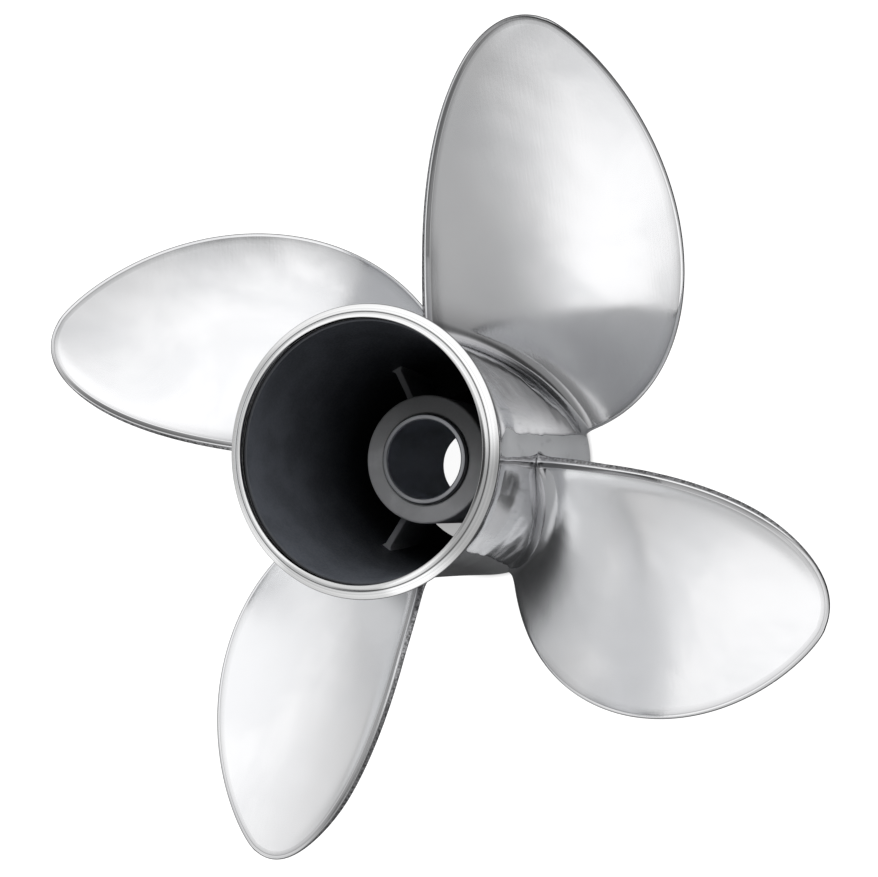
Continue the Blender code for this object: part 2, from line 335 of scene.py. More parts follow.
def model_rib(name, angle):
    """One rib, whose ends reach a little into the hub and into the wall."""
    deselect_all()
    bpy.ops.mesh.primitive_grid_add(x_subdivisions=RIB_STATIONS, y_subdivisions=RIB_STATIONS, size=1.0)
    web = bpy.context.object
    web.name = name
    for point in web.data.vertices:
        z = blend(rib_low.z, rib_high.z, point.co.y + 0.5)
        wall = inside_radius(z) + RIB_OVERLAP
        point.co = (blend(HUB_RADIUS - RIB_OVERLAP, wall, point.co.x + 0.5), 0.0, z)
    bpy.ops.object.mode_set(mode="EDIT")
    bpy.ops.mesh.select_all(action="SELECT")
    bpy.ops.mesh.extrude_region_move(TRANSFORM_OT_translate={"value": (0.0, 1.0, 0.0)})
    bpy.ops.object.mode_set(mode="OBJECT")
    for point in web.data.vertices:
        side = 1.0 if point.co.y > 0.5 else -1.0
        point.co.y = side * rib_half_width(point.co.x, inside_radius(point.co.z))
    bevel = web.modifiers.new("round edges", "BEVEL")
    bevel.width = RIB_ROUNDING
    bevel.segments = BEVEL_SEGMENTS
    bevel.angle_limit = BEVEL_ANGLE
    bpy.ops.object.modifier_apply(modifier=bevel.name)
    web.data.transform(Matrix.Rotation(angle, 4, "Z"))
    close_mesh(web)
    return web


ribs = []
for k in range(RIB_COUNT):
    ribs.append(model_rib(f"rib_web_{k + 1}", RIB_FIRST_ANGLE + math.tau * k / RIB_COUNT))
print(f"{len(ribs)} ribs, {RIB_THICKNESS * 1000:.0f} mm thick, a third of a turn apart")

# %% [markdown]
# A blade is a slice of a screw. Its driving face climbs round the shaft by the pitch, leans aft by the
# rake, and ends on a leaf-shaped outline. The trailing edge curls up in a small cup, and the root
# runs into the barrel in a round fillet. These are the sizes that a pattern maker would state.

# %% The blade's driving dimensions
BLADE_COUNT = 4
TIP_RADIUS = 0.1840
ROOT_RADIUS = 0.0540
OUTLINE_ROOT_RADIUS = 0.0594
PITCH = 0.4000
RAKE = math.radians(22.4)
FACE_ANGLE = math.radians(60.0)
FACE_Z = 0.0534
TIP_ANGLE = math.radians(68.7)
TRAILING_SWEEP = math.radians(18.8)
TRAILING_POWERS = (1.46, 0.44)
LEADING_SWEEP = math.radians(43.1)
LEADING_POWERS = (1.78, 0.93)
TIP_ROUNDING = math.radians(9.7)
ROOT_THICKNESS = 0.0085
TIP_THICKNESS = 0.0026
THINNING_POWER = 0.8
LEADING_THICKNESS = 0.0014
TRAILING_THICKNESS = 0.0044
FILLET_RADIUS = 0.0080
LEADING_WRAP = 0.10
TRAILING_WRAP = 0.15
FRONT_CLEARANCE = 0.0006
CLIMB = PITCH / math.tau
LEAN = math.tan(RAKE)


def face_point(radius, angle):
    """A point of the helical driving face."""
    z = FACE_Z + LEAN * (radius - OUTLINE_ROOT_RADIUS) + CLIMB * (angle - FACE_ANGLE)
    return Vector((radius * math.cos(angle), radius * math.sin(angle), z))


def face_normal(radius, angle):
    """The direction square to the driving face."""
    radial = Vector((math.cos(angle), math.sin(angle), 0.0))
    tangent = Vector((-math.sin(angle), math.cos(angle), 0.0))
    return (Vector((0.0, 0.0, 1.0)) - LEAN * radial - CLIMB / radius * tangent).normalized()


def fillet_growth(height):
    """How far the root fillet stands out at a height above the barrel."""
    if height >= FILLET_RADIUS:
        return 0.0
    drop = FILLET_RADIUS - max(height, 0.0)
    return FILLET_RADIUS - math.sqrt(FILLET_RADIUS ** 2 - drop ** 2)


def edge_angles(radius):
    """The leaf's two borders at a radius: leading edge and trailing edge."""
    reach = (radius - OUTLINE_ROOT_RADIUS) / (TIP_RADIUS - OUTLINE_ROOT_RADIUS)
    reach = min(max(reach, 0.0), 1.0)
    leading = LEADING_SWEEP * (1.0 - reach ** LEADING_POWERS[0]) ** LEADING_POWERS[1]
    leading += TIP_ROUNDING * math.sqrt(1.0 - reach ** 2)
    trailing = TRAILING_SWEEP * (1.0 - reach ** TRAILING_POWERS[0]) ** TRAILING_POWERS[1]
    wrap = fillet_growth(radius - ROOT_RADIUS) / radius
    return TIP_ANGLE - leading - LEADING_WRAP * wrap, TIP_ANGLE + trailing + TRAILING_WRAP * wrap


print(f"pitch {PITCH * 1000:.0f} mm, rake {math.degrees(RAKE):.1f} degrees")

# %% [markdown]
# Close up, the two edges differ. The leading edge is a slim rounded nose. The trailing edge is left
# thick and ground flat, and just before it the face curls up in the cup. Each is a function of the
# distance from the outline, and the thick edge thins out into the slim one before the tip.

# %% The edges' profiles
NOSE_LENGTH = 0.0019
GROUND_SPAN = 0.0008
GROUND_CORNER = 0.00018
CHAMFER_SPAN = 0.0028
CHAMFER_SLOPE = math.tan(math.radians(29.0))
BACK_CORNER = 0.0006
STYLE_LENGTH = 0.036
CUP_WIDTH = 0.0080
CUP_DEPTH = 0.0019
CUP_CREASE = 0.0020
EDGE_STATIONS = (
    0.0, 0.00004, 0.00015, 0.0003, 0.0005, 0.00065, 0.00075, 0.00085,
    0.0010, 0.0013, 0.0017, 0.0021, 0.0025, 0.0027, 0.0029, 0.0031, 0.0035,
)


def hinge(reach, softness):
    """Zero on one side, a straight slope on the other, with a round bend between them."""
    return 0.5 * (reach + math.sqrt(reach ** 2 + softness ** 2))


def round_drop(distance, radius, depth):
    """How far a rounded border has dropped at a distance from its rim."""
    if distance >= radius:
        return 0.0
    return depth * (1.0 - math.sqrt(max(1.0 - (1.0 - distance / radius) ** 2, 0.0)))


def ground_share(radius):
    """1 where the trailing edge is ground flat, 0 at the tip."""
    share = min((TIP_RADIUS - radius) / STYLE_LENGTH, 1.0)
    return share * share * (3.0 - 2.0 * share)


def edge_drops(distance, thickness, ground):
    """How far the face and the back have dropped at a distance from the outline."""
    nose = round_drop(distance, NOSE_LENGTH, 0.5 * thickness)
    chamfer = CHAMFER_SLOPE * hinge(CHAMFER_SPAN - distance, GROUND_CORNER)
    wall = thickness - BACK_CORNER - CHAMFER_SLOPE * hinge(CHAMFER_SPAN, GROUND_CORNER)
    wall *= hinge(GROUND_SPAN - distance, GROUND_CORNER) / hinge(GROUND_SPAN, GROUND_CORNER)
    back = round_drop(distance, BACK_CORNER, BACK_CORNER)
    return blend(nose, chamfer + wall, ground), blend(nose, back, ground)


chamfer_depth = CHAMFER_SLOPE * CHAMFER_SPAN
print(f"trailing edge {TRAILING_THICKNESS * 1000:.1f} mm thick, chamfer {chamfer_depth * 1000:.1f} mm deep")

# %% [markdown]
# The edge profiles are given by true distance from the outline, so each section needs points that lie
# that far inside it, square to the edge. The outline runs over a curved face, so the way inwards is
# found from two directions on that face, outwards and onwards, which aren't square to each other.

# %% The outline, moved inwards
OUTLINE_STEP = 0.00002
CALM_START = 0.1
HEART_RADIUS = 0.112
HEART = face_point(HEART_RADIUS, 0.5 * sum(edge_angles(HEART_RADIUS)))


def outline_inset(radius, side, distance):
    """Radius and angle of a point that lies inside the outline, square to it."""
    angle = edge_angles(radius)[side]
    outwards = Vector((math.cos(angle), math.sin(angle), LEAN))
    onwards = Vector((-radius * math.sin(angle), radius * math.cos(angle), CLIMB))
    low = max(radius - OUTLINE_STEP, ROOT_RADIUS)
    high = min(radius + OUTLINE_STEP, TIP_RADIUS)
    along = face_point(high, edge_angles(high)[side]) - face_point(low, edge_angles(low)[side])
    if radius > TIP_RADIUS - OUTLINE_STEP:
        along = onwards
    inwards = face_normal(radius, angle).cross(along).normalized()
    if inwards.dot(HEART - face_point(radius, angle)) < 0.0:
        inwards.negate()
    a, b, c = outwards.dot(outwards), outwards.dot(onwards), onwards.dot(onwards)
    p, q = outwards.dot(inwards), onwards.dot(inwards)
    scale = distance / (a * c - b * b)
    calm = min(max((radius - ROOT_RADIUS) / FILLET_RADIUS - CALM_START, 0.0), 1.0)
    return radius + calm * scale * (p * c - q * b), angle + scale * (a * q - b * p)


heart_leading, heart_trailing = edge_angles(HEART_RADIUS)
heart_width = (face_point(HEART_RADIUS, heart_trailing) - face_point(HEART_RADIUS, heart_leading)).length
print(f"a blade is {heart_width * 1000:.0f} mm wide at {HEART_RADIUS * 1000:.0f} mm from the shaft")

# %% [markdown]
# No run of hand moves gives these exact sections, so the blade is made another way: a grid is added
# and each of its points is placed by the formula. Along the grid lies the way from root to tip, and
# across it the way once round a section, over the face and back under it.

# %% One blade section
CHORD_STEPS = 40
RIM_REACH = 0.0045
FILLET_STEPS = 14
ROOT_DEPTH = 0.0006
SPAN_STEPS = 70
EDGE_CROWDING = 0.55
TIP_CROWDING = 0.93
CUP_START = 0.25
FOOT_SINK = 0.00003
LEAST_WIDTH = 0.0001


def blade_thickness(share, span, radius):
    """Thickness at a share of the way from leading to trailing edge: thin borders, a full middle."""
    trailing = blend(LEADING_THICKNESS, TRAILING_THICKNESS, ground_share(radius))
    edge = blend(LEADING_THICKNESS, trailing, share)
    middle = blend(ROOT_THICKNESS, TIP_THICKNESS, span ** THINNING_POWER)
    return edge + max(middle - edge, 0.0) * 4.0 * share * (1.0 - share)


def on_barrel(point, span):
    """Draw a point in to the barrel's own surface as the span goes to nothing."""
    base = outside_radius(point.z) - FOOT_SINK
    radius = blend(base, TIP_RADIUS, span)
    flat = math.hypot(point.x, point.y)
    return Vector((point.x * radius / flat, point.y * radius / flat, max(point.z, FRONT_CLEARANCE)))


def section_places(nominal):
    """Radius, angle, side and distance from the outline, from leading to trailing edge."""
    places = []
    for distance in EDGE_STATIONS:
        places.append((*outline_inset(nominal, 0, distance), 0, distance))
    last = len(EDGE_STATIONS) - 1
    start = places[last]
    end = outline_inset(nominal, 1, EDGE_STATIONS[last])
    for i in range(1, CHORD_STEPS):
        share = blend(i / CHORD_STEPS, math.sin(0.5 * math.pi * i / CHORD_STEPS), EDGE_CROWDING)
        places.append((blend(start[0], end[0], share), blend(start[1], end[1], share), 0, RIM_REACH))
    for distance in reversed(EDGE_STATIONS):
        places.append((*outline_inset(nominal, 1, distance), 1, distance))
    return places


def blade_section(span):
    """Points once round a section, and for each its distance from the rim and its ground share."""
    nominal = blend(ROOT_RADIUS, TIP_RADIUS, span)
    growth = fillet_growth(nominal - ROOT_RADIUS)
    faces = []
    backs = []
    marks = []
    for radius, angle, side, distance in section_places(nominal):
        leading, trailing = edge_angles(radius)
        width = max(trailing - leading, LEAST_WIDTH)
        share = min(max((angle - leading) / width, 0.0), 1.0)
        from_trailing = max(trailing - angle, 0.0) * math.hypot(radius, CLIMB)
        ground = ground_share(nominal) if side else 0.0
        thickness = blade_thickness(share, span, radius)
        face_drop, back_drop = edge_drops(distance, thickness, ground)
        lift = CUP_DEPTH * hinge(CUP_WIDTH - from_trailing, CUP_CREASE) / hinge(CUP_WIDTH, CUP_CREASE)
        lift *= min(span / CUP_START, 1.0) * math.sqrt(ground_share(radius))
        swell = growth * math.sqrt(max(1.0 - (2.0 * share - 1.0) ** 4, 0.0))
        normal = face_normal(radius, angle)
        point = face_point(radius, angle)
        inner_span = (radius - ROOT_RADIUS) / (TIP_RADIUS - ROOT_RADIUS)
        faces.append(on_barrel(point + normal * (lift - face_drop + swell), inner_span))
        backs.append(on_barrel(point + normal * (lift - thickness + back_drop - swell), inner_span))
        marks.append((distance, ground))
    return faces + backs[-2:0:-1], marks + marks[-2:0:-1]


def root_seam(section):
    """Join face and back along the middle of the root, just under the barrel's surface."""
    half = len(section) // 2
    middle = []
    for i in range(half + 1):
        point = 0.5 * (section[i] + section[-i])
        scale = (outside_radius(point.z) - ROOT_DEPTH) / math.hypot(point.x, point.y)
        middle.append(Vector((point.x * scale, point.y * scale, point.z)))
    return middle + middle[-2:0:-1]


# %% [markdown]
# The sections stand close together where the blade turns sharply, in the fillet and at the tip. Two
# attributes are stored on the points while the formula knows them: how far in from the rim a point
# is, and whether its edge is the ground one. The finish draws the lines along the edges with them.

# %% Model the first blade
def span_places():
    """Shares of the way from barrel to tip: fine in the root fillet and in the rounded tip."""
    reach = TIP_RADIUS - ROOT_RADIUS
    places = []
    for i in range(FILLET_STEPS):
        height = FILLET_RADIUS * (1.0 - math.cos(0.5 * math.pi * i / FILLET_STEPS))
        places.append(height / reach)
    first = FILLET_RADIUS / reach
    for i in range(SPAN_STEPS + 1):
        share = math.sin(0.5 * math.pi * i / SPAN_STEPS)
        places.append(blend(first, 1.0, blend(i / SPAN_STEPS, share, TIP_CROWDING)))
    return places


pairs = [blade_section(span) for span in span_places()]
sections = [root_seam(pairs[0][0])] + [pair[0] for pair in pairs]
rim_marks = [pairs[0][1]] + [pair[1] for pair in pairs]
around = len(sections[0])
rows = len(sections) - 1
deselect_all()
bpy.ops.mesh.primitive_grid_add(x_subdivisions=around, y_subdivisions=rows, size=1.0)
blade = bpy.context.object
blade.name = "blade_polished_1"
rim = blade.data.attributes.new("rim", "FLOAT", "POINT")
ground_edge = blade.data.attributes.new("ground_edge", "FLOAT", "POINT")
for point in blade.data.vertices:
    column = round((point.co.x + 0.5) * around) % around
    row = round((point.co.y + 0.5) * rows)
    point.co = sections[row][column]
    rim.data[point.index].value = rim_marks[row][column][0] / RIM_REACH
    ground_edge.data[point.index].value = rim_marks[row][column][1]
close_mesh(blade)
shell = bmesh.new()
shell.from_mesh(blade.data)
open_edges = sum(1 for edge in shell.edges if not edge.is_manifold)
shell.free()
print(f"one blade has {len(blade.data.polygons)} faces and {open_edges} open edges")

# %% [markdown]
# The other three blades are the same pattern, a quarter turn apart. Each copy has its own mesh, turned
# in place, so that every finished piece keeps its object at the origin.

# %% Copy it round the shaft
blades = [blade]
for k in range(1, BLADE_COUNT):
    mesh = blade.data.copy()
    mesh.transform(Matrix.Rotation(-math.tau * k / BLADE_COUNT, 4, "Z"))
    copy = bpy.data.objects.new(f"blade_polished_{k + 1}", mesh)
    bpy.context.collection.objects.link(copy)
    blades.append(copy)
print(", ".join(item.name for item in blades))

# %% [markdown]
# Now the finishes. Blender builds a finish from nodes, and the same few steps come back in all of
# them: a node with its values, a noise, a smooth step from one value to another, a sum, a mix of
# colours. Each step gets a helper, so that a material reads as a list of what it does.

# %% Helpers for shader nodes
def add_node(tree, kind, settings=None, values=None):
    """A new node, with its settings and the values of its sockets given by name."""
    item = tree.nodes.new(kind)
    for key, value in (settings or {}).items():
        setattr(item, key, value)
    for key, value in (values or {}).items():
        item.inputs[key].default_value = value
    return item


def feed(tree, item, sources):
    """Link each source to the node's socket of that name."""
    for label, source in sources.items():
        tree.links.new(source, item.inputs[label])


def object_place(tree):
    """Where the shaded point lies on the part, in metres."""
    return add_node(tree, "ShaderNodeTexCoord").outputs["Object"]


def add_noise(tree, place, scale, detail, distortion=0.0):
    values = {"Scale": scale, "Detail": detail, "Distortion": distortion}
    item = add_node(tree, "ShaderNodeTexNoise", None, values)
    feed(tree, item, {"Vector": place})
    return item.outputs["Fac"]


def add_bump(tree, height, distance, normal=None):
    item = add_node(tree, "ShaderNodeBump", None, {"Strength": 1.0})
    feed(tree, item, {"Height": height, "Distance": distance})
    if normal:
        feed(tree, item, {"Normal": normal})
    return item.outputs["Normal"]


def add_range(tree, source, limits, results=(0.0, 1.0)):
    """A smooth step from the first result to the second while the source passes its limits."""
    values = {"From Min": limits[0], "From Max": limits[1], "To Min": results[0], "To Max": results[1]}
    item = add_node(tree, "ShaderNodeMapRange", {"interpolation_type": "SMOOTHSTEP"}, values)
    feed(tree, item, {"Value": source})
    return item.outputs["Result"]


def add_math(tree, operation, first, second=0.0):
    item = add_node(tree, "ShaderNodeMath", {"operation": operation})
    for socket, value in zip(item.inputs, (first, second)):
        if isinstance(value, float):
            socket.default_value = value
        else:
            tree.links.new(value, socket)
    return item.outputs["Value"]


def add_vector_math(tree, operation, source, fixed=None):
    """The source's distance from a fixed point, its share along a fixed line, or its direction."""
    item = add_node(tree, "ShaderNodeVectorMath", {"operation": operation})
    tree.links.new(source, item.inputs[0])
    if fixed:
        item.inputs[1].default_value = fixed
    return item.outputs["Vector" if operation == "NORMALIZE" else "Value"]


def add_mix(tree, factor, first, second, blend_type="MIX"):
    item = add_node(tree, "ShaderNodeMix", {"data_type": "RGBA", "blend_type": blend_type})
    for socket, value in zip((item.inputs[0], item.inputs[6], item.inputs[7]), (factor, first, second)):
        if isinstance(value, float):
            socket.default_value = value
        elif isinstance(value, tuple):
            socket.default_value = (*value, 1.0)
        else:
            tree.links.new(value, socket)
    return item.outputs[2]


def add_tones(tree, source, stops):
    """Grey tones along a source, from (position, tone) pairs."""
    item = add_node(tree, "ShaderNodeValToRGB")
    elements = item.color_ramp.elements
    while len(elements) < len(stops):
        elements.new(0.5)
    for element, (position, tone) in zip(elements, stops):
        element.position = position
        element.color = (tone, tone, tone, 1.0)
    feed(tree, item, {"Fac": source})
    return item.outputs["Color"]


# %% [markdown]
# An effect that several metals share is a node group: it is built once and then used like any other
# node, with its own values in each material. A group here puts out numbers and normals only. The
# shader itself stays in the material.

# %% Helpers for shared effects and materials
def new_group(name, inputs, outputs):
    """A node group. Inputs are numbers with a first value, and so are all outputs but Normal."""
    tree = bpy.data.node_groups.new(name, "ShaderNodeTree")
    for label, value in inputs.items():
        socket = tree.interface.new_socket(label, in_out="INPUT", socket_type="NodeSocketFloat")
        socket.default_value = value
    for label in outputs:
        kind = "NodeSocketVector" if label == "Normal" else "NodeSocketFloat"
        tree.interface.new_socket(label, in_out="OUTPUT", socket_type=kind)
    return tree, tree.nodes.new("NodeGroupInput"), tree.nodes.new("NodeGroupOutput")


def use_group(tree, group, values=None):
    """Place a shared effect and return its outputs."""
    item = tree.nodes.new("ShaderNodeGroup")
    item.node_tree = group
    for key, value in (values or {}).items():
        item.inputs[key].default_value = value
    return item.outputs


def new_material(name, metallic=0.0):
    material = bpy.data.materials.new(name)
    material.use_nodes = True
    shader = material.node_tree.nodes["Principled BSDF"]
    shader.inputs["Metallic"].default_value = metallic
    return material, material.node_tree, shader


def tell(name, tree):
    print(f"{name}: {len(tree.nodes)} nodes")


# %% [markdown]
# Hand-polished steel is never quite even. The wheel leaves long soft waves, small clouds and hair
# lines, and under them lies a fine grain. Four noises of different size give these, and the hair
# lines are a noise that is stretched along one direction.

# %% Shared effect: polishing marks
WAVE_SCALE = 24.0
CLOUD_SCALE = 17.0
CLOUD_DISTORTION = 0.6
CLOUD_LIMITS = (0.34, 0.66)
GRAIN_SCALE = 700.0
HAIR_STRETCH = (1500.0, 110.0, 70.0)
HAIR_TURN = (0.2, 0.5, 0.7)
HAIR_LIMITS = (0.60, 0.74)
HAIR_STRENGTH = 0.30


def make_polish_marks():
    heights = {"Wave height": 0.0010, "Grain height": 0.00001}
    tree, group_in, group_out = new_group("polishing marks", heights, ("Normal", "Clouds", "Hairs"))
    place = object_place(tree)
    stretch = add_node(tree, "ShaderNodeMapping", None, {"Scale": HAIR_STRETCH, "Rotation": HAIR_TURN})
    feed(tree, stretch, {"Vector": place})
    wave = add_noise(tree, place, WAVE_SCALE, detail=2.0)
    grain = add_noise(tree, place, GRAIN_SCALE, detail=3.0)
    cloud = add_noise(tree, place, CLOUD_SCALE, detail=6.0, distortion=CLOUD_DISTORTION)
    hair = add_noise(tree, stretch.outputs["Vector"], scale=1.0, detail=2.0)
    waved = add_bump(tree, wave, group_in.outputs["Wave height"])
    fine = add_math(tree, "ADD", grain, hair)
    feed(tree, group_out, {
        "Normal": add_bump(tree, fine, group_in.outputs["Grain height"], waved),
        "Clouds": add_range(tree, cloud, CLOUD_LIMITS),
        "Hairs": add_range(tree, hair, HAIR_LIMITS, (0.0, HAIR_STRENGTH)),
    })
    return tree


polish_marks = make_polish_marks()
tell("polishing marks", polish_marks)

# %% [markdown]
# Several finishes depend on where a point lies: how far from the shaft, how high, and how far towards
# the side that the photograph shows at the lower left. One group works these three numbers out.

# %% Shared effect: place round the shaft
LOW_LEFT = (-0.40, -0.92, 0.0)


def make_shaft_place():
    tree, _, group_out = new_group("place round the shaft", {}, ("Radius", "Height", "Low left"))
    place = object_place(tree)
    parts = add_node(tree, "ShaderNodeSeparateXYZ")
    feed(tree, parts, {"Vector": place})
    squares = [add_math(tree, "MULTIPLY", parts.outputs[axis], parts.outputs[axis]) for axis in "XY"]
    feed(tree, group_out, {
        "Radius": add_math(tree, "SQRT", add_math(tree, "ADD", *squares)),
        "Height": parts.outputs["Z"],
        "Low left": add_vector_math(tree, "DOT_PRODUCT", place, LOW_LEFT),
    })
    return tree


shaft_place = make_shaft_place()
tell("place round the shaft", shaft_place)

# %% [markdown]
# A casting that nobody polished keeps the skin of its mould: fine pits that roughen it, and larger
# stains that only colour it.

# %% Shared effect: cast skin
PIT_SCALE = 900.0
PIT_LIMITS = (0.35, 0.65)
STAIN_SCALE = 60.0
STAIN_LIMITS = (0.32, 0.68)


def make_cast_skin():
    tree, group_in, group_out = new_group("cast skin", {"Bump height": 0.0001}, ("Normal", "Stain", "Pits"))
    place = object_place(tree)
    pits = add_noise(tree, place, PIT_SCALE, detail=5.0)
    stain = add_noise(tree, place, STAIN_SCALE, detail=6.0)
    feed(tree, group_out, {
        "Normal": add_bump(tree, pits, group_in.outputs["Bump height"]),
        "Stain": add_range(tree, stain, STAIN_LIMITS),
        "Pits": add_range(tree, pits, PIT_LIMITS),
    })
    return tree


cast_skin = make_cast_skin()
tell("cast skin", cast_skin)

# %% [markdown]
# A lathe leaves fine lines that run round the shaft. A noise that reads only radius and height is the
# same all the way round, so it draws such lines on flat faces and on walls alike.

# %% Shared effect: turning lines
LINE_SCALE = 3200.0
LINE_LIMITS = (0.35, 0.65)


def make_turning_lines():
    tree, group_in, group_out = new_group("turning lines", {"Line height": 0.00001}, ("Normal", "Lines"))
    where = use_group(tree, shaft_place)
    track = add_node(tree, "ShaderNodeCombineXYZ")
    feed(tree, track, {"X": where["Radius"], "Y": where["Height"]})
    lines = add_noise(tree, track.outputs["Vector"], LINE_SCALE, detail=3.0)
    feed(tree, group_out, {
        "Normal": add_bump(tree, lines, group_in.outputs["Line height"]),
        "Lines": add_range(tree, lines, LINE_LIMITS),
    })
    return tree


turning_lines = make_turning_lines()
tell("turning lines", turning_lines)

# %% [markdown]
# A blade is satin in the middle of its faces and mirror-bright at the root. Its borders differ: the leading
# edge keeps a polished nose, and the ground trailing edge shows a grey chamfer and a dark, speckled wall
# that nobody polished. Along both edges lie painted dark reflection lines and painted highlights: a bright
# band on the nose and a bright line on the trailing corner. The rim attribute says how far in a point is,
# so two ramps of grey can draw these lines along the edges.

# %% Material: polished blade steel
BLADE_MARKS = {"Wave height": 0.00045, "Grain height": 0.000009}
STEEL_CLEAN = (0.84, 0.84, 0.85)
STEEL_CLOUDED = (0.79, 0.795, 0.81)
SATIN = (0.17, 0.25)
# Edge ramps: painted highlights and painted dark reflection lines; the ground ramp also holds the chamfer's
# grey.
NOSE_PAINTED_LIGHT_LINES = (
    (0.0, 0.06), (0.08, 0.12), (0.13, 0.75), (0.34, 0.98), (0.41, 0.50), (0.48, 0.74), (1.0, 1.0),
)
GROUND_CHAMFER_AND_PAINTED_LIGHT_LINES = (
    (0.0, 0.06), (0.12, 0.16), (0.165, 1.0), (0.21, 1.0), (0.26, 0.30),
    (0.56, 0.42), (0.60, 0.50), (0.64, 1.0), (0.70, 0.72), (1.0, 0.95),
)
SPECKLED_RIM = (0.12, 0.18)
SPECK_STEEL = (0.30, 0.30, 0.31)
# Painted shade: the steel darkens towards the root fillet, where the blade runs into the barrel.
ROOT_SHADE_RADII = (0.0550, 0.0730)
ROOT_SHADE_SHARE = 0.55
ROOT_SHADE_STEEL = (0.14, 0.14, 0.15)
ROOT_RADII = (0.058, 0.080)
ROOT_GLOSS = 0.35
RIM_SHARES = (0.5, 1.0)
RIM_GLOSS = 0.55


def make_blade_steel():
    material, tree, shader = new_material("polished blade steel", metallic=1.0)
    polish = use_group(tree, polish_marks, BLADE_MARKS)
    where = use_group(tree, shaft_place)
    skin = use_group(tree, cast_skin)
    rim_share = add_node(tree, "ShaderNodeAttribute", {"attribute_name": "rim"}).outputs["Fac"]
    ground = add_node(tree, "ShaderNodeAttribute", {"attribute_name": "ground_edge"}).outputs["Fac"]

    steel = add_mix(tree, polish["Clouds"], STEEL_CLEAN, STEEL_CLOUDED)
    # Painted highlights and painted dark reflection lines along the edges, multiplied into the steel.
    nose = add_tones(tree, rim_share, NOSE_PAINTED_LIGHT_LINES)
    lines = add_mix(tree, ground, nose, add_tones(tree, rim_share, GROUND_CHAMFER_AND_PAINTED_LIGHT_LINES))
    steel = add_mix(tree, 1.0, steel, lines, "MULTIPLY")
    # Painted shade towards the root fillet.
    root_shade = add_range(tree, where["Radius"], ROOT_SHADE_RADII, (ROOT_SHADE_SHARE, 0.0))
    steel = add_mix(tree, root_shade, steel, ROOT_SHADE_STEEL)
    speckle = add_math(tree, "MULTIPLY", add_range(tree, rim_share, SPECKLED_RIM, (1.0, 0.0)), ground)
    speckle = add_math(tree, "MULTIPLY", speckle, skin["Pits"])
    steel = add_mix(tree, speckle, steel, SPECK_STEEL)

    near_root = add_range(tree, where["Radius"], ROOT_RADII, (ROOT_GLOSS, 1.0))
    near_rim = add_range(tree, rim_share, RIM_SHARES, (RIM_GLOSS, 1.0))
    satin = add_math(tree, "MULTIPLY", add_range(tree, polish["Clouds"], (0.0, 1.0), SATIN), near_root)
    satin = add_math(tree, "MULTIPLY", satin, near_rim)
    feed(tree, shader, {"Base Color": steel, "Roughness": satin, "Normal": polish["Normal"]})
    return material


blade_steel = make_blade_steel()
tell("polished blade steel", blade_steel.node_tree)

# %% [markdown]
# The barrel is polished harder than the blades. It mirrors its surroundings, and its deeper waves
# break the mirror images up. A few hair lines are left from the polishing wheel.

# %% Material: mirror-polished barrel steel
BARREL_MARKS = {"Wave height": 0.0016, "Grain height": 0.000006}
BARREL_CLEAN = (0.80, 0.80, 0.81)
BARREL_CLOUDED = (0.70, 0.705, 0.72)
HAIR_STEEL = (0.35, 0.355, 0.37)
MIRROR = (0.03, 0.08)


def make_barrel_steel():
    material, tree, shader = new_material("mirror barrel steel", metallic=1.0)
    polish = use_group(tree, polish_marks, BARREL_MARKS)
    steel = add_mix(tree, polish["Clouds"], BARREL_CLEAN, BARREL_CLOUDED)
    steel = add_mix(tree, polish["Hairs"], steel, HAIR_STEEL)
    gloss = add_range(tree, polish["Clouds"], (0.0, 1.0), MIRROR)
    feed(tree, shader, {"Base Color": steel, "Roughness": gloss, "Normal": polish["Normal"]})
    return material


barrel_steel = make_barrel_steel()
tell("mirror barrel steel", barrel_steel.node_tree)

# %% [markdown]
# The ring was turned and then polished, so its light breaks into fine circles. A painted shade line lies
# in the groove, and a painted dark reflection line at the outer edge. Inside the mouth the polish ends at a
# ragged black band, and the charcoal film of the inner wall begins.

# %% Material: turned ring steel
RING_LINES = {"Line height": 0.000012}
RING_BRIGHT = (0.95, 0.95, 0.95)
RING_SHADED = (0.74, 0.745, 0.75)
RING_GLOSS = (0.07, 0.13)
TONES_START = MOUTH_RADIUS - 0.001
TONES_WIDTH = 0.0080
# Painted shade: a dark line in the groove, and a painted dark reflection line at the rolled outer edge.
RING_PAINTED_SHADE_LINES = tuple(
    ((radius - TONES_START) / TONES_WIDTH, tone)
    for radius, tone in (
        (MOUTH_RADIUS, 0.85),
        (MOUTH_RADIUS + 0.0004, 0.95),
        (INNER_LINE - 2.0 * LINE_WIDTH, 0.82),
        (INNER_LINE - 0.5 * LINE_WIDTH, 0.18),
        (INNER_LINE + 0.5 * LINE_WIDTH, 0.24),
        (INNER_LINE + 2.0 * LINE_WIDTH, 1.0),
        (OUTER_LINE, 0.92),
        (RING_RADIUS - 0.00035, 0.85),
        (RING_RADIUS - 0.00012, 0.12),
    )
)
# A ragged black band a little way inside the mouth, before the grey film of the inner wall.
BLACK_BAND_DEPTHS = (0.0017, 0.0023)
BLACK_BAND_RAGGED = 0.0008
FILM_DEPTHS = (0.0032, 0.0042)
INSIDE_RADII = (MOUTH_RADIUS + 0.0001, MOUTH_RADIUS + 0.0004)
BLACK_BAND_COLOUR = (0.004, 0.004, 0.005)
FILM_GREY = (0.10, 0.105, 0.117)
BLACK_BAND_ROUGHNESS = 0.35


